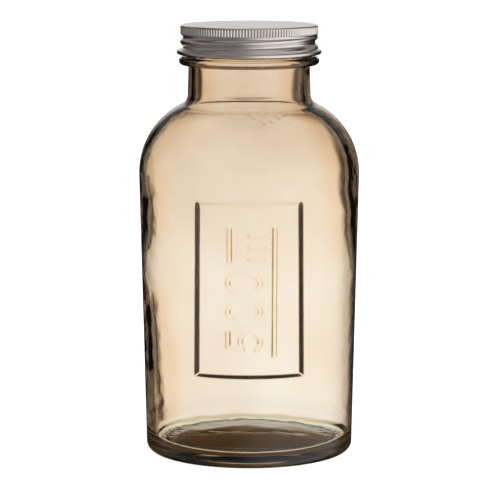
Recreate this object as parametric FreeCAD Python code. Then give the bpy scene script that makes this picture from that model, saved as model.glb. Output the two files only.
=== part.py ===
import FreeCAD
import Part

import math
import os
from types import SimpleNamespace

# Storage jar of tinted glass with an aluminium screw lid.
# Sizes are in millimetres. +Z is up, the jar stands on z = 0 and its panel faces -Y.

# Glass wall, outside
BASE_RADIUS = 48.2
BODY_RADIUS = 51.2
SHOULDER_START = 130.0
SHOULDER_ARC = 35.5
HEEL_ARC = 4.0
NECK_FOOT_RADIUS = 28.6
NECK_HEAD_RADIUS = 28.1
NECK_FOOT = 163.0
NECK_HEAD = 181.0
NECK_FILLET = 3.0

# Glass wall, inside
INNER_BASE_RADIUS = 44.4
INNER_BODY_RADIUS = 47.9
INNER_SHOULDER_ARC = 32.0
INNER_HEEL_ARC = 5.0
INNER_NECK_FILLET = 6.0
BORE_RADIUS = 24.8
FLOOR = 5.0
FLOOR_DOME = 2.0

# Underside: a flat bearing ring around a hollow
BEARING_RADIUS = 39.0
PUNT_RISE = 3.0

# Bead and finish at the mouth
BEAD_RADIUS = 32.5
BEAD_HALF = 1.9
FINISH_RADIUS = 29.2
RIM_HEIGHT = 197.0
RIM_OUTER_ARC = 1.2
RIM_INNER_ARC = 1.6

# Panel sunk into the front of the glass, with two plain bars standing in it
PANEL_HALF_WIDTH = 24.4
PANEL_LOW = 42.6
PANEL_HIGH = 123.8
PANEL_DEPTH = 1.0
PANEL_CORNER = 2.5
PANEL_DRAFT = 1.6
BAR_WIDTH = 3.0
BAR_RELIEF = 0.7
BARS = (
    {"across": -9.0, "low": 94.6, "high": 112.3},
    {"across": 11.8, "low": 51.0, "high": 112.3},
)

# Screw thread: right-handed, one start; the helix crosses +X at this height
PITCH = 5.0
HELIX_HEIGHT = 189.1
HELIX_STEP = 15

# Ridge of glass that the lid runs on, set low in the rolled groove of the closed lid
RIDGE_CREST = 30.6
RIDGE_DROP = 0.25
RIDGE_ROOT_HALF = 1.1
RIDGE_CREST_HALF = 0.5
RIDGE_FROM = 0
RIDGE_TO = 330
RIDGE_FADE = 45

# Lid, outside
LID_TOP = 199.5
SHEET = 0.45
LID_CORNER = 0.9
KNURL_RADIUS = 31.8
KNURL_LOW = 195.5
KNURL_HIGH = 198.5
FLUTES = 140
FLUTE_DEPTH = 0.3
FLUTE_OVERCUT = 0.05
SKIRT_RADIUS = 30.6
SKIRT_HIGH = 194.9
SKIRT_LOW = 189.5
CURL_RADIUS = 33.55
CURL_HEIGHT = 187.0
CURL_HALF = 1.0

# Lid, inside
SEAT_RADIUS = KNURL_RADIUS - FLUTE_DEPTH - SHEET
FLARE_RADIUS = 31.4
FLARE_LOW = 187.9

# Thread rolled into the lid: a bead outside and a groove inside
ROLL_CREST = 32.0
ROLL_HALF = 1.7
ROLL_EMBED = 0.3
ROLL_FROM = -120
ROLL_TO = 405
ROLL_FADE = 60
GROOVE_CREST = 31.4
GROOVE_RUNOUT_CREST = 30.95
GROOVE_ROOT = 29.9
GROOVE_ROOT_HALF = 1.3
GROOVE_CREST_HALF = 0.8
GROOVE_FROM = -105
GROOVE_TO = 345

# Liner disc
LINER_RADIUS = 30.8
LINER_LOW = 197.05
LINER_HIGH = 199.0
LINER_EDGE = 0.3


def rz(radius, height):
    """Point of a turned outline."""
    return FreeCAD.Vector(radius, 0, height)


class Outline:
    """Lines and arcs joined end to end in the XZ plane."""

    def __init__(self, start):
        self.start = start
        self.here = start
        self.edges = []

    def line_to(self, end):
        self.edges.append(Part.LineSegment(self.here, end).toShape())
        self.here = end

    def arc_to(self, end, centre):
        """Arc of less than half a circle about a centre."""
        radius = (end - centre).Length
        halfway = (self.here - centre) + (end - centre)
        middle = centre + halfway.normalize() * radius
        self.edges.append(Part.Arc(self.here, middle, end).toShape())
        self.here = end

    def turned(self):
        """Solid made by turning the closed outline about the Z axis."""
        self.line_to(self.start)
        face = Part.Face(Part.Wire(self.edges))
        return face.revolve(FreeCAD.Vector(), FreeCAD.Vector(0, 0, 1), 360)


def dome_centre(radius, low, high):
    """Centre, on the axis, of an arc from a rim at the low height to the axis at the high one."""
    rise = high - low
    return rz(0, high - (radius ** 2 + rise ** 2) / (2 * rise))


def wall_points(floor, base_radius, body_radius, heel_arc, shoulder_arc, neck_foot, neck_head, neck_fillet):
    """Points where the lines and arcs of one side of the glass wall meet, with every joint tangent."""
    taper = math.atan2(body_radius - base_radius, SHOULDER_START)
    outward = rz(math.cos(taper), -math.sin(taper))

    heel_height = floor + heel_arc
    heel_radius = base_radius + (heel_height * math.sin(taper) - heel_arc) / math.cos(taper)
    heel_centre = rz(heel_radius, heel_height)

    shoulder_foot = rz(body_radius, SHOULDER_START)
    shoulder_centre = shoulder_foot - outward * shoulder_arc

    # The neck fillet touches the shoulder arc from outside and the neck line on its outer side
    along = (neck_head - neck_foot).normalize()
    sideways = rz(along.z, -along.x)
    offset = neck_foot + sideways * neck_fillet - shoulder_centre
    reach = shoulder_arc + neck_fillet
    drop = offset.dot(along)
    slide = math.sqrt(drop ** 2 - offset.dot(offset) + reach ** 2) - drop
    fillet_centre = neck_foot + sideways * neck_fillet + along * slide

    return SimpleNamespace(
        heel_foot=rz(heel_radius, floor),
        heel_centre=heel_centre,
        heel_head=heel_centre + outward * heel_arc,
        shoulder_foot=shoulder_foot,
        shoulder_centre=shoulder_centre,
        shoulder_head=shoulder_centre + (fillet_centre - shoulder_centre) * (shoulder_arc / reach),
        fillet_centre=fillet_centre,
        fillet_head=fillet_centre - sideways * neck_fillet,
    )


def draw_finish(outline):
    """Bead, straight finish and rounded rim, drawn from the neck to the top of the bore."""
    bead_centre = rz(BEAD_RADIUS - BEAD_HALF, NECK_HEAD + BEAD_HALF)
    bead_top = NECK_HEAD + 2 * BEAD_HALF
    outline.line_to(rz(bead_centre.x, NECK_HEAD))
    outline.arc_to(rz(BEAD_RADIUS, bead_centre.z), bead_centre)
    outline.arc_to(rz(bead_centre.x, bead_top), bead_centre)
    outline.line_to(rz(FINISH_RADIUS, bead_top))

    outer_centre = rz(FINISH_RADIUS - RIM_OUTER_ARC, RIM_HEIGHT - RIM_OUTER_ARC)
    inner_centre = rz(BORE_RADIUS + RIM_INNER_ARC, RIM_HEIGHT - RIM_INNER_ARC)
    outline.line_to(rz(FINISH_RADIUS, outer_centre.z))
    outline.arc_to(rz(outer_centre.x, RIM_HEIGHT), outer_centre)
    outline.line_to(rz(inner_centre.x, RIM_HEIGHT))
    outline.arc_to(rz(BORE_RADIUS, inner_centre.z), inner_centre)


def jar_blank():
    """Hollow glass without its thread or its panel."""
    neck_foot = rz(NECK_FOOT_RADIUS, NECK_FOOT)
    neck_head = rz(NECK_HEAD_RADIUS, NECK_HEAD)
    outside = wall_points(
        0, BASE_RADIUS, BODY_RADIUS, HEEL_ARC, SHOULDER_ARC, neck_foot, neck_head, NECK_FILLET)
    bore_foot = rz(BORE_RADIUS, NECK_FOOT)
    bore_head = rz(BORE_RADIUS, RIM_HEIGHT)
    inside = wall_points(
        FLOOR, INNER_BASE_RADIUS, INNER_BODY_RADIUS, INNER_HEEL_ARC, INNER_SHOULDER_ARC,
        bore_foot, bore_head, INNER_NECK_FILLET)

    outline = Outline(rz(0, PUNT_RISE))
    outline.arc_to(rz(BEARING_RADIUS, 0), dome_centre(BEARING_RADIUS, 0, PUNT_RISE))
    outline.line_to(outside.heel_foot)
    outline.arc_to(outside.heel_head, outside.heel_centre)
    outline.line_to(outside.shoulder_foot)
    outline.arc_to(outside.shoulder_head, outside.shoulder_centre)
    outline.arc_to(outside.fillet_head, outside.fillet_centre)
    outline.line_to(neck_head)
    draw_finish(outline)
    outline.line_to(inside.fillet_head)
    outline.arc_to(inside.shoulder_head, inside.fillet_centre)
    outline.arc_to(inside.shoulder_foot, inside.shoulder_centre)
    outline.line_to(inside.heel_head)
    outline.arc_to(inside.heel_foot, inside.heel_centre)
    dome_top = FLOOR + FLOOR_DOME
    outline.arc_to(rz(0, dome_top), dome_centre(inside.heel_foot.x, FLOOR, dome_top))
    return outline.turned()


def rounded_window(half_width, low, high, corner, depth):
    """Wire of a rounded rectangle that faces along Y."""
    wide = half_width - corner
    corners = ((wide, high - corner, 0), (-wide, high - corner, 90),
               (-wide, low + corner, 180), (wide, low + corner, 270))
    arcs = []
    for across, height, first_angle in corners:
        spots = []
        for turn in (0, 45, 90):
            angle = math.radians(first_angle + turn)
            spots.append(FreeCAD.Vector(
                across + corner * math.cos(angle), depth, height + corner * math.sin(angle)))
        arcs.append(spots)
    edges = []
    for spots, following in zip(arcs, arcs[1:] + arcs[:1]):
        edges.append(Part.Arc(*spots).toShape())
        if (following[0] - spots[2]).Length > 1e-6:
            edges.append(Part.LineSegment(spots[2], following[0]).toShape())
    return Part.Wire(edges)


def wall_cone(inset):
    """Solid with the slope of the outer wall, set in from it by the given amount."""
    return Part.makeCone(BASE_RADIUS - inset, BODY_RADIUS - inset, SHOULDER_START)


def panel_cutter():
    """Glass to take away for the panel: a drafted window down to a floor that follows the wall."""
    near = rounded_window(PANEL_HALF_WIDTH, PANEL_LOW, PANEL_HIGH, PANEL_CORNER, -BODY_RADIUS - 2)
    far = rounded_window(
        PANEL_HALF_WIDTH - PANEL_DRAFT, PANEL_LOW + PANEL_DRAFT, PANEL_HIGH - PANEL_DRAFT,
        PANEL_CORNER, -INNER_BASE_RADIUS + PANEL_HALF_WIDTH / 2)
    window = Part.makeLoft([near, far], True, True)
    return window.cut(wall_cone(PANEL_DEPTH))


def panel_bars():
    """Bars with rounded ends that stand up from the panel floor."""
    bars = []
    crown = wall_cone(PANEL_DEPTH - BAR_RELIEF).cut(wall_cone(PANEL_DEPTH + BAR_RELIEF))
    for bar in BARS:
        outline = rounded_window(BAR_WIDTH / 2, bar["low"], bar["high"], BAR_WIDTH / 2, -BODY_RADIUS - 2)
        outline.translate(FreeCAD.Vector(bar["across"], 0, 0))
        prism = Part.Face(outline).extrude(FreeCAD.Vector(0, BODY_RADIUS, 0))
        bars.append(prism.common(crown))
    return bars


def helix_point(radius, angle, above):
    """Point at a height above the thread helix, with the angle in degrees around the axis."""
    turn = math.radians(angle)
    height = HELIX_HEIGHT + PITCH * angle / 360 + above
    return FreeCAD.Vector(radius * math.cos(turn), radius * math.sin(turn), height)


def flat_section(root, crest, root_half, crest_half, drop, angle):
    """Four-sided section of a thread at one angle of the helix."""
    corners = [
        helix_point(root, angle, -root_half - drop),
        helix_point(crest, angle, -crest_half - drop),
        helix_point(crest, angle, crest_half - drop),
        helix_point(root, angle, root_half - drop),
    ]
    return Part.makePolygon(corners + corners[:1])


def round_section(root, crest, half, angle):
    """Section of a rolled bead at one angle of the helix: a flat back and a round front."""
    low = helix_point(root, angle, -half)
    front = helix_point(crest, angle, 0)
    high = helix_point(root, angle, half)
    return Part.Wire([Part.Arc(low, front, high).toShape(), Part.LineSegment(high, low).toShape()])


def fade(angle, first, last, length):
    """Share of the full height, which rises and falls smoothly over the given angle at each end."""
    near_end = min(angle - first, last - angle, length) / length
    return near_end * near_end * (3 - 2 * near_end)


def glass_ridge():
    """Thread ridge of the glass, which grows out of the finish at both ends."""
    sections = []
    for angle in range(RIDGE_FROM, RIDGE_TO + 1, HELIX_STEP):
        share = 0.05 + 0.95 * fade(angle, RIDGE_FROM, RIDGE_TO, RIDGE_FADE)
        crest = FINISH_RADIUS + (RIDGE_CREST - FINISH_RADIUS) * share
        sections.append(flat_section(
            FINISH_RADIUS - 0.5, crest, RIDGE_ROOT_HALF, RIDGE_CREST_HALF, RIDGE_DROP, angle))
    return Part.makeLoft(sections, True)


def rolled_bead():
    """Outside of the rolled thread, which sinks into the skirt at both ends."""
    sections = []
    root = SKIRT_RADIUS - ROLL_EMBED
    for angle in range(ROLL_FROM, ROLL_TO + 1, HELIX_STEP):
        share = 0.1 + 0.9 * fade(angle, ROLL_FROM, ROLL_TO, ROLL_FADE)
        crest = root + (ROLL_CREST - root) * share
        sections.append(round_section(root, crest, ROLL_HALF, angle))
    return Part.makeLoft(sections, True)


def rolled_groove():
    """Inside of the rolled thread, shallower where it runs out into the flare."""
    sections = []
    for angle in range(GROOVE_FROM, GROOVE_TO + 1, HELIX_STEP):
        runout = min(max(-angle / -GROOVE_FROM, 0), 1)
        crest = GROOVE_CREST + (GROOVE_RUNOUT_CREST - GROOVE_CREST) * runout
        sections.append(flat_section(
            GROOVE_ROOT, crest, GROOVE_ROOT_HALF, GROOVE_CREST_HALF, 0, angle))
    return Part.makeLoft(sections, True)


def lid_blank():
    """Outside of the lid as a filled solid: top, knurled band, skirt and rolled bottom edge."""
    corner_centre = rz(KNURL_RADIUS - LID_CORNER, LID_TOP - LID_CORNER)
    curl_centre = rz(CURL_RADIUS - CURL_HALF, CURL_HEIGHT)
    curl_spots = []
    for angle in (125, 0, -135):
        turn = math.radians(angle)
        curl_spots.append(curl_centre + rz(CURL_HALF * math.cos(turn), CURL_HALF * math.sin(turn)))

    outline = Outline(rz(0, LID_TOP))
    outline.line_to(rz(corner_centre.x, LID_TOP))
    outline.arc_to(rz(KNURL_RADIUS, corner_centre.z), corner_centre)
    outline.line_to(rz(KNURL_RADIUS, KNURL_LOW))
    outline.line_to(rz(SKIRT_RADIUS, SKIRT_HIGH))
    outline.line_to(rz(SKIRT_RADIUS, SKIRT_LOW))
    outline.line_to(curl_spots[0])
    outline.arc_to(curl_spots[1], curl_centre)
    outline.arc_to(curl_spots[2], curl_centre)
    outline.line_to(rz(0, curl_spots[2].z))
    return outline.turned()


def lid_cavity():
    """Space inside the lid: liner seat, skirt bore and the wider mouth at the rolled edge."""
    bore = SKIRT_RADIUS - SHEET
    seat_top = LID_TOP - SHEET
    mouth = CURL_HEIGHT - 2 * CURL_HALF
    outline = Outline(rz(0, seat_top))
    outline.line_to(rz(SEAT_RADIUS - LINER_EDGE, seat_top))
    outline.line_to(rz(SEAT_RADIUS, seat_top - LINER_EDGE))
    outline.line_to(rz(SEAT_RADIUS, KNURL_LOW + SHEET))
    outline.line_to(rz(bore, SKIRT_HIGH))
    outline.line_to(rz(bore, SKIRT_LOW - SHEET))
    outline.line_to(rz(FLARE_RADIUS, FLARE_LOW))
    outline.line_to(rz(FLARE_RADIUS, mouth))
    outline.line_to(rz(0, mouth))
    return outline.turned()


def knurl_cutter():
    """Ring around the knurled band with one bulge on its inner edge for each flute."""
    crest = KNURL_RADIUS + FLUTE_OVERCUT
    valley = KNURL_RADIUS - FLUTE_DEPTH
    step = 360 / FLUTES
    spots = []
    for count in range(2 * FLUTES + 1):
        radius = valley if count % 2 else crest
        turn = math.radians(step * count / 2)
        spots.append(FreeCAD.Vector(radius * math.cos(turn), radius * math.sin(turn), KNURL_LOW))
    spots[-1] = spots[0]
    arcs = []
    for count in range(0, 2 * FLUTES, 2):
        arcs.append(Part.Arc(spots[count], spots[count + 1], spots[count + 2]).toShape())
    tall = KNURL_HIGH - KNURL_LOW
    core = Part.Face(Part.Wire(arcs)).extrude(FreeCAD.Vector(0, 0, tall))
    ring = Part.makeCylinder(crest + 1, tall, FreeCAD.Vector(0, 0, KNURL_LOW))
    return ring.cut(core)


def glass_jar():
    jar = jar_blank().fuse(glass_ridge())
    jar = jar.cut(panel_cutter())
    return jar.fuse(panel_bars())


def lid_shell():
    outside = lid_blank().fuse(rolled_bead())
    inside = lid_cavity().fuse(rolled_groove())
    return outside.cut(inside).cut(knurl_cutter())


def lid_liner():
    """Disc with bevelled edges."""
    outline = Outline(rz(0, LINER_LOW))
    outline.line_to(rz(LINER_RADIUS - LINER_EDGE, LINER_LOW))
    outline.line_to(rz(LINER_RADIUS, LINER_LOW + LINER_EDGE))
    outline.line_to(rz(LINER_RADIUS, LINER_HIGH - LINER_EDGE))
    outline.line_to(rz(LINER_RADIUS - LINER_EDGE, LINER_HIGH))
    outline.line_to(rz(0, LINER_HIGH))
    return outline.turned()


def export(name, shape):
    """Write one named piece, which has to be a single sound solid."""
    solid = shape.Solids[0]
    if len(shape.Solids) != 1 or not solid.isValid():
        raise ValueError(name + " is not one sound solid")
    solid.exportStep("parts/" + name + ".step")


os.makedirs("parts", exist_ok=True)
export("glass_jar", glass_jar())
export("lid_shell", lid_shell())
export("lid_liner", lid_liner())
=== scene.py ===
import math

import bpy
import numpy as np
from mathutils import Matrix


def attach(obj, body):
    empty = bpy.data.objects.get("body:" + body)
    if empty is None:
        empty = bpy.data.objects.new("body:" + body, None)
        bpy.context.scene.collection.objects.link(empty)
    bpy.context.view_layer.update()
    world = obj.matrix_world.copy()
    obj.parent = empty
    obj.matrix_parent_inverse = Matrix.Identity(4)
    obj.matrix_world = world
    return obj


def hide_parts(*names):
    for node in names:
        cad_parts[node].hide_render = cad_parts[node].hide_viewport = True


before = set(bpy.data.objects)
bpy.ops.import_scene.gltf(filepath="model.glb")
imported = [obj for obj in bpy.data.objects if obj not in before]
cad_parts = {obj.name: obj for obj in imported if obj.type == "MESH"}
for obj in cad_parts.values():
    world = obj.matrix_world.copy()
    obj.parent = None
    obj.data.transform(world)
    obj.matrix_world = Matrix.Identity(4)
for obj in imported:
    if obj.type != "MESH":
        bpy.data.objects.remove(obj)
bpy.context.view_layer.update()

# Sizes of the object are in millimetres here and become metres when a mesh is made.
MILLIMETRE = 0.001
FULL_TURN = 360

# Outside of the glass. Its finish is the threaded part above the bead.
BASE_RADIUS = 48.2
BODY_RADIUS = 51.2
HEEL_ARC = 4.0
SHOULDER_START = 130.0
SHOULDER_ARC = 35.5
NECK_FOOT = 163.0
NECK_FOOT_RADIUS = 28.6
NECK_HEAD = 181.0
NECK_HEAD_RADIUS = 28.1
NECK_FILLET = 5.0
BEAD_FILLET = 0.5
BEAD_RADIUS = 32.5
BEAD_HALF = 1.9
BEAD_TOP = NECK_HEAD + 2 * BEAD_HALF
FINISH_RADIUS = 29.2
RIM_HEIGHT = 197.0
RIM_OUTER_ARC = 1.2
BEARING_RADIUS = 39.0
PUNT_RISE = 3.0

# Inside of the glass
INNER_BASE_RADIUS = 44.4
INNER_BODY_RADIUS = 47.9
INNER_HEEL_ARC = 5.0
INNER_SHOULDER_ARC = 32.0
INNER_NECK_FILLET = 8.5
BORE_RADIUS = 24.8
RIM_INNER_ARC = 1.6
FLOOR = 5.0
FLOOR_DOME = 2.0
FLOOR_TOP = FLOOR + FLOOR_DOME

# Panel in the front of the glass
PANEL_CENTRE_ANGLE = -90
PANEL_HALF_WIDTH = 25.2
PANEL_WIDENING = 1.7
PANEL_LOW = 41.8
PANEL_HIGH = 124.4
PANEL_DEPTH = 1.3
PANEL_CORNER = 1.4
PANEL_SLOPE = 2.4
PANEL_TOP_SLOPE = 4.6
PANEL_RADIUS = 50.2
PANEL_MARGIN = 3.0

# Fine part of the glass mesh, around the panel
FINE_BELOW = 4.0
FINE_ABOVE = 3.0
FINE_HALF_ANGLE = 34
FINE_ANGLES = 170
COARSE_ANGLES = 420

# Marks that stand up in the panel. Each bar is its place across the panel, its foot and its head.
MARK_RELIEF = 0.48
MARK_HALF = 1.0
MARK_SLOPE = 1.5
BARS = ((-9.1, 96.0, 110.9), (11.9, 52.5, 110.9))
TICK_HEIGHTS = (97.0, 102.5, 108.0)
TICK_START = 0.5
TICK_END = 6.5
NUMERAL_WIDTH = 9.6
NUMERAL_HEIGHT = 15.2
NUMERAL_SPACING = 13.1
NUMERAL_BASELINE = 5.2
NUMERAL_START = 55.0
LOOP_STEP = 12

# Waves in the glass, each as a length and a height. Waves of one length run in several directions,
# and their sum is divided to bring it back to about that height.
WALL_WAVES = ((55, 0.05), (24, 0.02), (9, 0.008), (4.5, 0.004))
FLOOR_WAVES = ((14, 0.03), (6, 0.012))
FLOOR_EDGE_WAVES = ((4.2, 0.1), (2.4, 0.05))
CRINKLES = ((3.4, 0.12), (2.3, 0.07))
WAVE_DIRECTIONS = 6
WAVE_DIVISOR = 2.4
WALL_SEED = 11
CRINKLE_SEED = 8
FLOOR_SEED = 5
FLOOR_EDGE_SEED = 6

# Screw thread: right-handed, one start. The ridge of the glass ends before a whole turn.
PITCH = 5.0
HELIX_HEIGHT = 189.1
RIDGE_DROP = 0.25
RIDGE_HEIGHT = 1.4
RIDGE_HALF = 1.15
RIDGE_SLOPE = 0.75
RIDGE_TURN = 330
RIDGE_END = 45

# Lid
LID_TOP = 199.5
SHEET = 0.45
SEAT_ARC = 0.4
KNURL_RADIUS = 31.8
KNURL_LOW = 195.3
KNURL_HIGH = 198.6
TOP_ARC = LID_TOP - KNURL_HIGH
TOP_EDGE = 0.5
FLUTES = 140
FLUTE_DEPTH = 0.52
FLUTE_ROUNDING = 0.6
FLUTE_END = 0.35
FLUTE_LEAST_RADIUS = KNURL_RADIUS - 0.2
ANGLES_PER_FLUTE = 8
SKIRT_MIDDLE = 31.25
ROLL_SWING = 0.72
ROLL_LEAST_RADIUS = 29.0
ROLL_MOST_RADIUS = KNURL_RADIUS + 0.3
CURL_RADIUS = 33.55
CURL_HEIGHT = 187.0
CURL_HALF = 1.15
CURL_END_RADIANS = 2.2

# Heights where the sheet steps in below the knurled band and flares out to the curl
STEP_INSIDE_HIGH = KNURL_LOW + 0.3
STEP_INSIDE_LOW = KNURL_LOW - 0.6
STEP_OUTSIDE_LOW = KNURL_LOW - 0.9
FLARE_INSIDE = CURL_HEIGHT + 1.6
FLARE_OUTSIDE = CURL_HEIGHT + 2.2

# Liner, with the groove that the rim of the glass presses into it
LINER_RADIUS = 30.8
LINER_LOW = 197.05
LINER_HIGH = 199.0
LINER_ARC = 0.3
LINER_ANGLES = 192
GROOVE_RADIUS = 27
GROOVE_HALF = 2.4
GROOVE_SLOPE = 0.8
GROOVE_DEPTH = 0.12
GROOVE_FACE = LINER_LOW + 0.05

# Floor, shade under the jar and aim of the lamps, with lengths in metres
FLOOR_HALF = 8.0
SHADE_RADIUS = 0.041
SHADE_SHIFT = 0.0055
SHADE_HEIGHT = 0.0002
SHADE_CORNERS = 96
LAMP_TARGET = (0, 0, 0.1)

# Camera: place in metres, tilt in degrees, lens and sensor in millimetres
CAMERA_PLACE = (0.0004, -1.2359, 0.2754)
CAMERA_TILT = 8.343
CAMERA_LENS = 192.26
CAMERA_SENSOR = 36

# Light from the surround and from the floor, and the number of pale fields around the object
PLAIN_LEVEL = 0.4
WHITE_LEVEL = 1
FLOOR_GLOW = 0.8
PALE_FIELDS = 8


def smooth(value):
    """Smooth step from 0 to 1."""
    share = np.clip(value, 0, 1)
    return share * share * (3 - 2 * share)


def rises(value, start, run):
    """Share that grows smoothly from 0 at the start to 1 a run later."""
    return smooth((value - start) / run)


def falls(value, end, run):
    """Share that shrinks smoothly from 1 a run before the end to 0 at the end."""
    return smooth((end - value) / run)


def bump(value, centre, reach):
    """Share that falls smoothly from 1 at the centre to 0 at the reach on both sides of it."""
    return smooth(1 - np.abs(value - centre) / reach)


def near_angle(angles, centre, reach):
    """Bump around the axis, centred on an angle, as one row for all heights."""
    half_turn = FULL_TURN / 2
    away = np.mod(angles - centre + half_turn, FULL_TURN) - half_turn
    return bump(away, 0, reach)[None, :]


def even_angles(count):
    """Angles in degrees, evenly around the axis."""
    return np.linspace(0, FULL_TURN, count + 1)[:-1]


class Outline:
    """Evenly sampled lines and arcs, as complex numbers: radius plus height times i."""

    def __init__(self, start):
        self.points = [start]

    def line(self, end, step):
        start = self.points[-1]
        count = max(1, round(abs(end - start) / step))
        for number in range(1, count + 1):
            self.points.append(start + (end - start) * number / count)

    def arc(self, end, centre, step):
        """Shorter arc about a centre."""
        spoke = self.points[-1] - centre
        turn = np.angle((end - centre) / spoke)
        count = max(2, round(abs(turn * spoke) / step))
        for number in range(1, count + 1):
            self.points.append(centre + spoke * np.exp(1j * turn * number / count))

    def grid(self, angles):
        """Radius and height of every point, repeated for every angle."""
        points = np.array(self.points)
        ones = np.ones(len(angles))
        return np.outer(points.real, ones), np.outer(points.imag, ones)


def wall_points(floor, base_radius, body_radius, heel_arc, shoulder_arc, neck_foot, neck_head,
                neck_fillet):
    """Points where the lines and arcs of one side of the glass wall meet, with every joint tangent."""
    taper = math.atan2(body_radius - base_radius, SHOULDER_START)
    outward = complex(math.cos(taper), -math.sin(taper))
    heel_height = floor + heel_arc
    heel_radius = base_radius + (heel_height * math.sin(taper) - heel_arc) / math.cos(taper)
    heel_centre = complex(heel_radius, heel_height)
    shoulder_foot = complex(body_radius, SHOULDER_START)
    shoulder_centre = shoulder_foot - outward * shoulder_arc
    along = (neck_head - neck_foot) / abs(neck_head - neck_foot)
    sideways = along * -1j
    offset = neck_foot + sideways * neck_fillet - shoulder_centre
    reach = shoulder_arc + neck_fillet
    drop = (offset * along.conjugate()).real
    slide = math.sqrt(drop ** 2 - abs(offset) ** 2 + reach ** 2) - drop
    fillet_centre = neck_foot + sideways * neck_fillet + along * slide
    return {
        "heel_foot": complex(heel_radius, floor),
        "heel_centre": heel_centre,
        "heel_head": heel_centre + outward * heel_arc,
        "shoulder_foot": shoulder_foot,
        "shoulder_centre": shoulder_centre,
        "shoulder_head": shoulder_centre + (fillet_centre - shoulder_centre) * shoulder_arc / reach,
        "fillet_centre": fillet_centre,
        "fillet_head": fillet_centre - sideways * neck_fillet,
    }


def dome_centre(radius, low, high):
    """Centre of the arc from the edge of a dome to its top on the axis."""
    rise = high - low
    return complex(0, high - (radius ** 2 + rise ** 2) / (2 * rise))


def point_at_height(start, end, height):
    """Point at a height on the straight line through two points."""
    side = end - start
    return start + side * (height - start.imag) / side.imag


def outer_glass():
    """Outside of the glass from the middle of its underside to the top of its rim."""
    neck_head = complex(NECK_HEAD_RADIUS, NECK_HEAD)
    wall = wall_points(
        floor=0,
        base_radius=BASE_RADIUS,
        body_radius=BODY_RADIUS,
        heel_arc=HEEL_ARC,
        shoulder_arc=SHOULDER_ARC,
        neck_foot=complex(NECK_FOOT_RADIUS, NECK_FOOT),
        neck_head=neck_head,
        neck_fillet=NECK_FILLET,
    )
    fine_foot = point_at_height(wall["heel_head"], wall["shoulder_foot"], PANEL_LOW - FINE_BELOW)
    fine_head = point_at_height(wall["heel_head"], wall["shoulder_foot"], PANEL_HIGH + FINE_ABOVE)
    fillet_corner = neck_head + complex(BEAD_FILLET, -BEAD_FILLET)
    bead_centre = complex(BEAD_RADIUS - BEAD_HALF, NECK_HEAD + BEAD_HALF)
    rim_centre = complex(FINISH_RADIUS - RIM_OUTER_ARC, RIM_HEIGHT - RIM_OUTER_ARC)

    outline = Outline(complex(0, PUNT_RISE))
    punt_centre = dome_centre(BEARING_RADIUS, 0, PUNT_RISE)
    outline.arc(complex(BEARING_RADIUS, 0), punt_centre, step=2.0)
    outline.line(wall["heel_foot"], step=1.0)
    outline.arc(wall["heel_head"], wall["heel_centre"], step=0.4)
    outline.line(fine_foot, step=1.5)
    outline.line(fine_head, step=0.42)
    outline.line(wall["shoulder_foot"], step=1.5)
    outline.arc(wall["shoulder_head"], wall["shoulder_centre"], step=1.2)
    outline.arc(wall["fillet_head"], wall["fillet_centre"], step=0.4)
    outline.line(neck_head - BEAD_FILLET * 1j, step=1.2)
    outline.arc(neck_head + BEAD_FILLET, fillet_corner, step=0.2)
    outline.line(complex(bead_centre.real, NECK_HEAD), step=0.6)
    outline.arc(bead_centre + BEAD_HALF, bead_centre, step=0.3)
    outline.arc(bead_centre + BEAD_HALF * 1j, bead_centre, step=0.3)
    outline.line(complex(FINISH_RADIUS, BEAD_TOP), step=0.6)
    outline.line(complex(FINISH_RADIUS, rim_centre.imag), step=0.35)
    outline.arc(rim_centre + RIM_OUTER_ARC * 1j, rim_centre, step=0.3)
    return outline


def inner_glass():
    """Inside of the glass from the top of its rim to the middle of its floor."""
    wall = wall_points(
        floor=FLOOR,
        base_radius=INNER_BASE_RADIUS,
        body_radius=INNER_BODY_RADIUS,
        heel_arc=INNER_HEEL_ARC,
        shoulder_arc=INNER_SHOULDER_ARC,
        neck_foot=complex(BORE_RADIUS, NECK_FOOT),
        neck_head=complex(BORE_RADIUS, RIM_HEIGHT),
        neck_fillet=INNER_NECK_FILLET,
    )
    rim_centre = complex(BORE_RADIUS + RIM_INNER_ARC, RIM_HEIGHT - RIM_INNER_ARC)
    floor_centre = dome_centre(wall["heel_foot"].real, FLOOR, FLOOR_TOP)

    outline = Outline(rim_centre + RIM_INNER_ARC * 1j)
    outline.arc(rim_centre - RIM_INNER_ARC, rim_centre, step=0.3)
    outline.line(wall["fillet_head"], step=1.2)
    outline.arc(wall["shoulder_head"], wall["fillet_centre"], step=0.6)
    outline.arc(wall["shoulder_foot"], wall["shoulder_centre"], step=0.7)
    outline.line(wall["heel_head"], step=1.2)
    outline.arc(wall["heel_foot"], wall["heel_centre"], step=0.6)
    outline.arc(complex(0, FLOOR_TOP), floor_centre, step=0.8)
    return outline


def rounded_box_distance(across, up, half_width, low, high, corner):
    """Distance from the edge of a rounded rectangle, negative inside it."""
    side = np.abs(across) - (half_width - corner)
    end = np.abs(up - (low + high) / 2) - ((high - low) / 2 - corner)
    outside = np.hypot(np.maximum(side, 0), np.maximum(end, 0))
    return outside + np.minimum(np.maximum(side, end), 0) - corner


def stroke_distance(across, up, path):
    """Distance from a chain of straight strokes."""
    nearest = math.inf
    for start, end in zip(path, path[1:]):
        run = complex(*end) - complex(*start)
        offset = across - start[0] + 1j * (up - start[1])
        share = np.clip((offset * run.conjugate()).real / abs(run) ** 2, 0, 1)
        nearest = np.minimum(nearest, np.abs(offset - share * run))
    return nearest


def loop_path(centre, half_width, half_height, first, last):
    """Part of an ellipse as a chain of points, with the angles in degrees."""
    count = abs(last - first) // LOOP_STEP
    path = []
    for number in range(count + 1):
        angle = math.radians(first + (last - first) * number / count)
        across = centre[0] + half_width * math.cos(angle)
        up = centre[1] + half_height * math.sin(angle)
        path.append((across, up))
    return path


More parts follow.
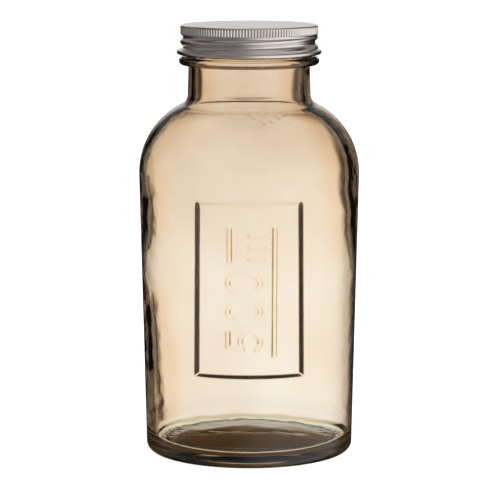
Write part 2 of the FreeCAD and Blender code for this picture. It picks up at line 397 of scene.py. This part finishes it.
def numeral_paths():
    """Strokes of the numerals 500 in a flat frame: along the reading line, then upwards."""
    wide = NUMERAL_WIDTH
    tall = NUMERAL_HEIGHT
    five = [(0.9 * wide, tall), (0.14 * wide, tall), (0.06 * wide, 0.56 * tall)]
    five += loop_path((0.44 * wide, 0.31 * tall), 0.5 * wide, 0.31 * tall, 125, -140)
    zero = loop_path((0.5 * wide, 0.5 * tall), 0.5 * wide, 0.5 * tall, 0, FULL_TURN)
    paths = []
    for place, figure in enumerate((five, zero, zero)):
        paths.append([(along + place * NUMERAL_SPACING, rise) for along, rise in figure])
    return paths


def panel_marks():
    """Strokes in the panel, as points across it and up it: two bars, three ticks and the numerals."""
    marks = []
    for across, foot, head in BARS:
        marks.append([(across, foot), (across, head)])
    for height in TICK_HEIGHTS:
        marks.append([(TICK_START, height), (TICK_END, height)])
    for path in numeral_paths():
        marks.append([(NUMERAL_BASELINE - rise, NUMERAL_START + along) for along, rise in path])
    return marks


def panel_relief(angles, height):
    """How far the outside of the glass stands in or out at the panel."""
    across = np.radians(angles - PANEL_CENTRE_ANGLE)[None, :] * PANEL_RADIUS
    open_top = PANEL_HIGH + PANEL_TOP_SLOPE
    below_top = (PANEL_HIGH - height) / (PANEL_HIGH - PANEL_LOW)
    half_width = PANEL_HALF_WIDTH + PANEL_WIDENING * below_top
    edge = rounded_box_distance(across, height, half_width, PANEL_LOW, open_top, PANEL_CORNER)
    sunk = falls(edge, end=0, run=PANEL_SLOPE) * falls(height, end=PANEL_HIGH, run=PANEL_TOP_SLOPE)
    nearest = math.inf
    for path in panel_marks():
        nearest = np.minimum(nearest, stroke_distance(across, height, path))
    raised = falls(nearest, end=MARK_HALF + MARK_SLOPE / 2, run=MARK_SLOPE) * (edge < 0)
    return MARK_RELIEF * raised - PANEL_DEPTH * sunk


def helix_offset(angles, height):
    """Height above the nearest turn of the thread helix, and the turn's own angle in degrees."""
    angle = np.mod(angles, FULL_TURN)[None, :]
    turn = np.round((height - HELIX_HEIGHT) / PITCH - angle / FULL_TURN)
    whole = angle + FULL_TURN * turn
    return height - HELIX_HEIGHT - PITCH * whole / FULL_TURN, whole


def ridge_relief(angles, height):
    """Thread ridge of the glass, which fades out at both ends."""
    above, whole = helix_offset(angles, height + RIDGE_DROP)
    share = rises(whole, start=0, run=RIDGE_END) * falls(whole, end=RIDGE_TURN, run=RIDGE_END)
    return RIDGE_HEIGHT * share * falls(np.abs(above), end=RIDGE_HALF, run=RIDGE_SLOPE)


def ripples(angles, radius, height, waves, seed):
    """Sum of plane waves at points around the axis."""
    chance = np.random.default_rng(seed)
    around = np.radians(angles)[None, :]
    spots = np.stack([radius * np.cos(around), radius * np.sin(around), height])
    total = np.zeros_like(height)
    for length, swing in waves:
        for _ in range(WAVE_DIRECTIONS):
            heading = chance.normal(size=3)
            heading *= 2 * math.pi / length / np.linalg.norm(heading)
            phase = chance.uniform(0, 2 * math.pi)
            total += swing / WAVE_DIVISOR * np.sin(np.tensordot(heading, spots, 1) + phase)
    return total


def wall_unevenness(angles, radius, height):
    """Change of the inner radius, which makes the wall wavy and of uneven thickness.

    Its right is thin below the shoulder and thick above. Its left is thin at two heights and thick
    at the foot. The front has crinkles at the foot of the neck.
    """
    uneven = ripples(angles, radius, height, WALL_WAVES, WALL_SEED)
    thin_right = 0.95 * rises(height, start=4, run=8) * falls(height, end=110, run=30)
    thick_right = 0.6 * rises(height, start=112, run=12)
    uneven += near_angle(angles, centre=0, reach=60) * (thin_right - thick_right)
    thin_left = 0.8 * bump(height, centre=87, reach=18) + 0.5 * bump(height, centre=135, reach=18)
    thick_left = 0.2 * falls(height, end=40, run=30)
    uneven += near_angle(angles, centre=180, reach=45) * (thin_left - thick_left)
    crinkled = near_angle(angles, centre=-76, reach=26) * bump(height, centre=155.5, reach=5.5)
    uneven += crinkled * ripples(angles, radius, height, CRINKLES, CRINKLE_SEED)
    body = rises(radius, start=20, run=8) * falls(height, end=RIM_HEIGHT - 6, run=20)
    return uneven * body


def floor_unevenness(angles, radius, height):
    """Change of height of the floor inside, which chilled into small waves."""
    flat = falls(height, end=FLOOR_TOP + 0.5, run=1.5) * falls(radius, end=44, run=4)
    edge = flat * rises(radius, start=33, run=4)
    calm = ripples(angles, radius, height, FLOOR_WAVES, FLOOR_SEED)
    rough = ripples(angles, radius, height, FLOOR_EDGE_WAVES, FLOOR_EDGE_SEED)
    return flat * calm + edge * rough


def glass_angles():
    """Angles around the jar in degrees, close together across the panel."""
    fine_start = PANEL_CENTRE_ANGLE - FINE_HALF_ANGLE
    fine_end = PANEL_CENTRE_ANGLE + FINE_HALF_ANGLE
    fine = np.linspace(fine_start, fine_end, FINE_ANGLES)
    coarse = np.linspace(fine_end, fine_start + FULL_TURN, COARSE_ANGLES)
    return np.concatenate([fine[:-1], coarse[:-1]])


def turned_mesh(name, radius, height, angles):
    """Closed mesh from rings of points. The first and last rings are single points on the axis."""
    rings, count = radius.shape
    around = np.radians(angles)[None, :]
    spots = np.stack([radius * np.cos(around), radius * np.sin(around), height], axis=2)
    first_pole = np.array([[0, 0, height[0, 0]]])
    last_pole = np.array([[0, 0, height[-1, 0]]])
    vertices = np.concatenate([first_pole, spots[1:-1].reshape(-1, 3), last_pole])
    last = len(vertices) - 1

    place = 1 + np.arange((rings - 2) * count).reshape(rings - 2, count)
    beside = np.roll(place, -1, axis=1)
    quads = np.stack([place[:-1], beside[:-1], beside[1:], place[1:]], axis=2).reshape(-1, 4)
    faces = quads.tolist()
    for here, following in zip(place[0], beside[0]):
        faces.append((0, int(following), int(here)))
    for here, following in zip(place[-1], beside[-1]):
        faces.append((last, int(here), int(following)))

    mesh = bpy.data.meshes.new(name)
    mesh.from_pydata((vertices * MILLIMETRE).tolist(), [], faces)
    mesh.polygons.foreach_set("use_smooth", [True] * len(mesh.polygons))
    mesh.update()
    piece = bpy.data.objects.new(name, mesh)
    bpy.context.scene.collection.objects.link(piece)
    return piece


def build_glass():
    """Jar with its panel, marks and thread outside and its uneven wall inside."""
    angles = glass_angles()
    outer_radius, outer_height = outer_glass().grid(angles)
    panel = (outer_height > PANEL_LOW - PANEL_MARGIN) & (outer_height < PANEL_HIGH + PANEL_MARGIN)
    outer_radius += np.where(panel, panel_relief(angles, outer_height), 0)
    finish = (outer_height > BEAD_TOP) & (outer_height < RIM_HEIGHT - RIM_OUTER_ARC)
    outer_radius += np.where(finish, ridge_relief(angles, outer_height), 0)
    inner_radius, inner_height = inner_glass().grid(angles)
    inner_height += floor_unevenness(angles, inner_radius, inner_height)
    inner_radius += wall_unevenness(angles, inner_radius, inner_height)
    radius = np.concatenate([outer_radius, inner_radius])
    height = np.concatenate([outer_height, inner_height])
    return turned_mesh("jar_glass", radius, height, angles)


def lid_outline():
    """Lid sheet from the middle of its underside, down inside, round the curl and up outside."""
    seat_radius = KNURL_RADIUS - FLUTE_DEPTH - SHEET
    seat_corner = complex(seat_radius - SEAT_ARC, LID_TOP - SHEET - SEAT_ARC)
    skirt_inside = SKIRT_MIDDLE - SHEET
    curl_centre = complex(CURL_RADIUS - CURL_HALF, CURL_HEIGHT)
    curl_end = curl_centre + CURL_HALF * np.exp(1j * CURL_END_RADIANS)
    top_corner = complex(KNURL_RADIUS - TOP_ARC, KNURL_HIGH)

    outline = Outline(complex(0, LID_TOP - SHEET))
    outline.line(seat_corner + SEAT_ARC * 1j, step=2.0)
    outline.arc(seat_corner + SEAT_ARC, seat_corner, step=0.2)
    outline.line(complex(seat_radius, STEP_INSIDE_HIGH), step=0.5)
    outline.line(complex(skirt_inside, STEP_INSIDE_LOW), step=0.25)
    outline.line(complex(skirt_inside, FLARE_INSIDE), step=0.25)
    outline.line(curl_centre - CURL_HALF, step=0.25)
    outline.arc(curl_centre - CURL_HALF * 1j, curl_centre, step=0.2)
    outline.arc(curl_centre + CURL_HALF, curl_centre, step=0.2)
    outline.arc(curl_end, curl_centre, step=0.2)
    outline.line(complex(SKIRT_MIDDLE, FLARE_OUTSIDE), step=0.2)
    outline.line(complex(SKIRT_MIDDLE, STEP_OUTSIDE_LOW), step=0.2)
    outline.line(complex(KNURL_RADIUS, KNURL_LOW), step=0.15)
    outline.line(complex(KNURL_RADIUS, KNURL_HIGH), step=0.2)
    outline.arc(top_corner + TOP_ARC * 1j, top_corner, step=0.12)
    outline.line(complex(top_corner.real - TOP_EDGE, LID_TOP), step=0.25)
    outline.line(complex(0, LID_TOP), step=2.0)
    return outline


def roll_relief(angles, height):
    """Rolled thread of the lid, which dies out at the knurled band and at the curl."""
    above, _ = helix_offset(angles, height)
    swing = ROLL_SWING * np.cos(2 * math.pi * above / PITCH)
    low_end = rises(height, start=CURL_HEIGHT + 0.6, run=1.3)
    high_end = falls(height, end=KNURL_LOW + 0.1, run=1.8)
    return swing * low_end * high_end


def build_lid():
    """Lid with its rolled thread and its fluted band."""
    angles = even_angles(FLUTES * ANGLES_PER_FLUTE)
    radius, height = lid_outline().grid(angles)
    skirt = (radius > ROLL_LEAST_RADIUS) & (radius < ROLL_MOST_RADIUS)
    radius += np.where(skirt, roll_relief(angles, height), 0)
    flute = (1 + np.cos(np.radians(angles) * FLUTES)[None, :]) / 2
    low_end = rises(height, start=KNURL_LOW, run=FLUTE_END)
    high_end = falls(height, end=KNURL_HIGH + 0.25, run=FLUTE_END)
    cut = FLUTE_DEPTH * (1 - flute ** FLUTE_ROUNDING) * low_end * high_end
    radius -= np.where(radius > FLUTE_LEAST_RADIUS, cut, 0)
    return turned_mesh("lid_metal", radius, height, angles)


def build_liner():
    """Sealing disc with the groove that the rim of the glass leaves in it."""
    low_corner = complex(LINER_RADIUS - LINER_ARC, LINER_LOW + LINER_ARC)
    high_corner = complex(LINER_RADIUS - LINER_ARC, LINER_HIGH - LINER_ARC)
    outline = Outline(complex(0, LINER_LOW))
    outline.line(complex(low_corner.real, LINER_LOW), step=1.0)
    outline.arc(low_corner + LINER_ARC, low_corner, step=0.1)
    outline.line(high_corner + LINER_ARC, step=0.3)
    outline.arc(high_corner + LINER_ARC * 1j, high_corner, step=0.1)
    outline.line(complex(0, LINER_HIGH), step=1.0)
    angles = even_angles(LINER_ANGLES)
    radius, height = outline.grid(angles)
    pressed = falls(np.abs(radius - GROOVE_RADIUS), end=GROOVE_HALF, run=GROOVE_SLOPE)
    height += np.where(height < GROOVE_FACE, GROOVE_DEPTH * pressed, 0)
    return turned_mesh("lid_disc", radius, height, angles)


class Shading:
    """Shader nodes of a material or of the world, with short ways to add and join them."""

    def __init__(self, owner):
        owner.use_nodes = True
        self.nodes = owner.node_tree.nodes
        self.links = owner.node_tree.links
        self.nodes.clear()

    def feed(self, socket, value):
        """Join an input to another node's output, or set it to a plain value."""
        if isinstance(value, bpy.types.NodeSocket):
            self.links.new(value, socket)
        else:
            socket.default_value = value

    def add(self, kind, values):
        """New node with some of its inputs fed by name."""
        node = self.nodes.new(kind)
        for name, value in values.items():
            self.feed(node.inputs[name], value)
        return node

    def place(self, coordinates):
        """X, Y and Z in one of the kinds of texture coordinates."""
        source = self.nodes.new("ShaderNodeTexCoord")
        parts = self.add("ShaderNodeSeparateXYZ", {"Vector": source.outputs[coordinates]})
        return parts.outputs

    def calculate(self, operation, *values):
        """Result of one operation on one, two or three values."""
        node = self.nodes.new("ShaderNodeMath")
        node.operation = operation
        for socket, value in zip(node.inputs, values):
            self.feed(socket, value)
        return node.outputs["Value"]

    def product(self, *values):
        """All the values multiplied together."""
        total = values[0]
        for value in values[1:]:
            total = self.calculate("MULTIPLY", total, value)
        return total

    def largest(self, *values):
        """The largest of the values."""
        most = values[0]
        for value in values[1:]:
            most = self.calculate("MAXIMUM", most, value)
        return most

    def map_range(self, value, source, target, interpolation="SMOOTHSTEP"):
        """Value carried from one range to another and held at its ends."""
        node = self.add("ShaderNodeMapRange", {
            "Value": value,
            "From Min": source[0],
            "From Max": source[1],
            "To Min": target[0],
            "To Max": target[1],
        })
        node.interpolation_type = interpolation
        return node.outputs["Result"]

    def mix(self, share, first, second, data_type="FLOAT"):
        """First value at a share of 0, second value at a share of 1."""
        node = self.nodes.new("ShaderNodeMix")
        node.data_type = data_type
        self.feed(node.inputs["Factor"], share)
        self.feed(node.inputs["A"], first)
        self.feed(node.inputs["B"], second)
        return node.outputs["Result"]

    def noise(self, scale, detail, stretch=(1, 1, 1)):
        """Noise in the object's own coordinates."""
        source = self.nodes.new("ShaderNodeTexCoord")
        mapping = self.add("ShaderNodeMapping", {
            "Vector": source.outputs["Object"],
            "Scale": stretch,
        })
        texture = self.add("ShaderNodeTexNoise", {
            "Vector": mapping.outputs["Vector"],
            "Scale": scale,
            "Detail": detail,
        })
        return texture.outputs["Fac"]

    def ramp(self, value, low_colour, high_colour):
        """Blend of two colours over the middle of a noise's range."""
        blend = self.add("ShaderNodeValToRGB", {"Fac": value})
        low_end, high_end = blend.color_ramp.elements
        low_end.position = 0.3
        low_end.color = (*low_colour, 1)
        high_end.position = 0.7
        high_end.color = (*high_colour, 1)
        return blend.outputs["Color"]


def glass_material():
    """Brown glass, tinted on its skin and more so up to the neck, bare and greenish underneath.

    The heights are in metres.
    """
    material = bpy.data.materials.new("tinted_glass")
    tree = Shading(material)
    height = tree.place("Object")["Z"]
    cloud = tree.noise(scale=26, detail=2)
    low_tint = tree.ramp(cloud, (0.978, 0.9, 0.808), (1, 0.97, 0.904))
    high_tint = tree.ramp(cloud, (0.855, 0.748, 0.622), (0.935, 0.842, 0.73))
    up_to_neck = tree.map_range(height, (0.08, 0.166), (0, 1))
    tint = tree.mix(up_to_neck, low_tint, high_tint, "RGBA")
    bare = (0.9, 0.98, 0.88, 1)
    above_base = tree.map_range(height, (0.002, 0.007), (0, 1))
    stipple = tree.map_range(height, (0.0004, 0.002), (0.45, 0))
    shader = tree.add("ShaderNodeBsdfPrincipled", {
        "Base Color": tree.mix(above_base, bare, tint, "RGBA"),
        "Roughness": stipple,
        "Transmission Weight": 1,
        "IOR": 1.5,
    })
    inside = tree.add("ShaderNodeVolumeAbsorption", {
        "Color": (0.84, 0.74, 0.45, 1),
        "Density": 14,
    })
    tree.add("ShaderNodeOutputMaterial", {
        "Surface": shader.outputs["BSDF"],
        "Volume": inside.outputs["Volume"],
    })
    return material


def aluminium_material():
    """Satin sheet with fine scuffs."""
    material = bpy.data.materials.new("satin_aluminium")
    tree = Shading(material)
    cloud = tree.noise(scale=60, detail=4)
    scuffs = tree.noise(scale=300, detail=5, stretch=(1, 1, 4))
    shader = tree.add("ShaderNodeBsdfPrincipled", {
        "Base Color": tree.ramp(cloud, (0.79, 0.728, 0.702), (0.85, 0.787, 0.76)),
        "Metallic": 1,
        "Roughness": tree.map_range(scuffs, (0, 1), (0.19, 0.25), "LINEAR"),
    })
    tree.add("ShaderNodeOutputMaterial", {"Surface": shader.outputs["BSDF"]})
    return material


def liner_material():
    """Soft off-white sealing disc."""
    material = bpy.data.materials.new("soft_liner")
    tree = Shading(material)
    grain = tree.noise(scale=400, detail=3)
    shader = tree.add("ShaderNodeBsdfPrincipled", {
        "Base Color": tree.ramp(grain, (0.78, 0.77, 0.74), (0.86, 0.85, 0.82)),
        "Roughness": 0.6,
    })
    tree.add("ShaderNodeOutputMaterial", {"Surface": shader.outputs["BSDF"]})
    return material


def toward(tree, azimuth, degrees):
    """1 in a direction around the object, which falls to -1 on the other side."""
    turned = tree.calculate("SUBTRACT", azimuth, math.radians(degrees))
    return tree.calculate("COSINE", turned)


def light_through_glass(tree, behind, rise, path):
    """Surround seen through the glass: bright, with a dark flag on each side of what is behind.

    It is dim along the edges of the glass, where light turns back once in the wall and crosses only
    two faces. Light that the glass guides on, and light from high up, is hardly dimmed there.
    """
    far_side = tree.map_range(behind, (0.72, 0.8), (0, 1))
    near_side = tree.map_range(behind, (0.964, 0.983), (1, 0))
    foot = tree.map_range(rise, (-0.25, -0.215), (0, 1))
    flag = tree.product(far_side, near_side, foot)
    low_sky = tree.map_range(rise, (0.06, 0.2), (1, 0.14))
    high_sky = tree.map_range(rise, (0.45, 0.6), (0, 0.75))
    edge = tree.map_range(path.outputs["Transmission Depth"], (2.5, 3.5), (0.08, 1))
    guided = tree.map_range(path.outputs["Glossy Depth"], (1.5, 3.5), (0, 0.9))
    steep = tree.map_range(rise, (0.45, 0.6), (0, 0.9))
    ground = tree.map_range(rise, (-0.58, -0.44), (0.75, 1))
    front = tree.map_range(behind, (-0.3, 0.3), (0.8, 1))
    return tree.product(
        tree.map_range(flag, (0, 1), (1, 0.012), "LINEAR"),
        tree.largest(edge, guided, steep),
        tree.largest(low_sky, high_sky),
        ground,
        front,
    )


def light_in_metal(tree, azimuth, behind, rise):
    """Surround seen in the metal: bright at the front right and dim elsewhere.

    A band of sky runs all round, with a patch low behind the object and some light overhead.
    """
    front = tree.product(
        tree.map_range(toward(tree, azimuth, -28), (0.1, 0.97), (0.2, 1)),
        tree.map_range(behind, (0.2, 0.65), (1, 0.07)),
        tree.map_range(rise, (0.05, 0.3), (1, 0.7)),
        tree.map_range(rise, (0.3, 0.75), (1, 0.12)),
    )
    patch = tree.product(
        tree.map_range(behind, (0.93, 0.99), (0, 0.86)),
        tree.map_range(rise, (0, 0.1), (0, 1)),
        tree.map_range(rise, (0.3, 0.5), (1, 0)),
    )
    band = tree.product(
        tree.map_range(rise, (0.18, 0.3), (0, 0.24)),
        tree.map_range(rise, (0.5, 0.65), (1, 0)),
    )
    overhead = tree.map_range(rise, (0.7, 0.9), (0, 0.4))
    return tree.largest(front, patch, band, overhead)


def set_world():
    """White for the camera. The glass and the metal each see a surround of their own.

    What is seen through the glass warms as it dims, and is warmer between pale fields.
    """
    world = bpy.data.worlds.new("studio")
    bpy.context.scene.world = world
    tree = Shading(world)
    direction = tree.place("Generated")
    rise = direction["Z"]
    azimuth = tree.calculate("ARCTAN2", direction["Y"], direction["X"])
    behind = toward(tree, azimuth, 90)
    path = tree.nodes.new("ShaderNodeLightPath")
    through = path.outputs["Is Transmission Ray"]
    in_metal = light_in_metal(tree, azimuth, behind, rise)
    in_glass = light_through_glass(tree, behind, rise, path)
    level = tree.mix(path.outputs["Is Glossy Ray"], PLAIN_LEVEL, in_metal)
    level = tree.mix(through, level, in_glass)
    level = tree.mix(path.outputs["Is Camera Ray"], level, WHITE_LEVEL)

    fields = tree.calculate("COSINE", tree.calculate("MULTIPLY", azimuth, PALE_FIELDS))
    colour = tree.nodes.new("ShaderNodeCombineColor")
    for channel, more, least in (("Red", 0, 1), ("Green", 0.3, 0.88), ("Blue", 0.9, 0.76)):
        power = tree.calculate("MULTIPLY_ADD", through, more, 1)
        dimmed = tree.calculate("POWER", level, power)
        between = tree.mix(through, 1, tree.map_range(fields, (0.35, 0.98), (least, 1)))
        tree.feed(colour.inputs[channel], tree.product(dimmed, between))
    background = tree.add("ShaderNodeBackground", {"Color": colour.outputs["Color"]})
    tree.add("ShaderNodeOutputWorld", {"Surface": background.outputs["Background"]})


def flat_face(name, corners, material):
    """Object with a single flat face."""
    mesh = bpy.data.meshes.new(name)
    mesh.from_pydata(corners, [], [list(range(len(corners)))])
    mesh.materials.append(material)
    face = bpy.data.objects.new(name, mesh)
    bpy.context.scene.collection.objects.link(face)
    return face


def floor_material():
    """White that takes a shadow and is lifted towards white for the camera."""
    material = bpy.data.materials.new("white_floor")
    tree = Shading(material)
    surface = tree.add("ShaderNodeBsdfDiffuse", {"Color": (0.9, 0.9, 0.9, 1)})
    path = tree.nodes.new("ShaderNodeLightPath")
    strength = tree.calculate("MULTIPLY", path.outputs["Is Camera Ray"], FLOOR_GLOW)
    glow = tree.add("ShaderNodeEmission", {"Strength": strength})
    both = tree.nodes.new("ShaderNodeAddShader")
    tree.feed(both.inputs[0], surface.outputs["BSDF"])
    tree.feed(both.inputs[1], glow.outputs["Emission"])
    tree.add("ShaderNodeOutputMaterial", {"Surface": both.outputs["Shader"]})
    return material


def add_floor():
    """White floor that keeps the contact shadow and is not seen through the glass."""
    half = FLOOR_HALF
    corners = [(-half, -half, 0), (half, -half, 0), (half, half, 0), (-half, half, 0)]
    floor = flat_face("floor", corners, floor_material())
    floor.visible_transmission = False
    floor.visible_glossy = False


def shade_material():
    """Nearly black brown."""
    material = bpy.data.materials.new("shaded_ground")
    tree = Shading(material)
    surface = tree.add("ShaderNodeBsdfDiffuse", {"Color": (0.02, 0.014, 0.01, 1)})
    tree.add("ShaderNodeOutputMaterial", {"Surface": surface.outputs["BSDF"]})
    return material


def add_underside_shade():
    """Shaded ground right under the jar, which is seen only through the glass of its base."""
    corners = []
    for angle in np.radians(even_angles(SHADE_CORNERS)):
        across = SHADE_RADIUS * math.cos(angle)
        back = SHADE_SHIFT + SHADE_RADIUS * math.sin(angle)
        corners.append((across, back, SHADE_HEIGHT))
    shade = flat_face("ground_shade", corners, shade_material())
    shade.visible_camera = False
    shade.visible_diffuse = False
    shade.visible_shadow = False


def add_lamp(name, place, size, power):
    """Square lamp that faces the object and isn't seen in it."""
    light = bpy.data.lights.new(name, "AREA")
    light.size = size
    light.energy = power
    lamp = bpy.data.objects.new(name, light)
    lamp.visible_glossy = False
    lamp.visible_transmission = False
    lamp.location = place
    aim = np.array(LAMP_TARGET) - np.array(place)
    flat = math.hypot(aim[0], aim[1])
    lamp.rotation_euler = (math.atan2(flat, -aim[2]), 0, math.atan2(-aim[0], aim[1]))
    bpy.context.scene.collection.objects.link(lamp)


def add_camera():
    """Camera where the photo was taken from, tilted down."""
    scene = bpy.context.scene
    data = bpy.data.cameras.new("camera")
    data.lens = CAMERA_LENS
    data.sensor_width = CAMERA_SENSOR
    camera = bpy.data.objects.new("camera", data)
    camera.location = CAMERA_PLACE
    camera.rotation_euler = (math.radians(90 - CAMERA_TILT), 0, 0)
    scene.collection.objects.link(camera)
    scene.camera = camera


def finish_piece(piece, body, node, material):
    """Give a piece its material and its moving body, and hide the solid in model.glb that it stands
    for.
    """
    piece.data.materials.append(material)
    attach(piece, body)
    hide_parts(node)


finish_piece(build_glass(), "jar", "glass_jar", glass_material())
finish_piece(build_lid(), "cap", "lid_shell", aluminium_material())
finish_piece(build_liner(), "seal", "lid_liner", liner_material())

set_world()
add_floor()
add_underside_shade()
add_lamp("key", place=(0.9, -1.1, 1.3), size=0.8, power=22)
add_lamp("fill", place=(-1.2, -0.6, 0.9), size=1.0, power=8)
add_camera()
bpy.context.scene.view_settings.view_transform = "Standard"
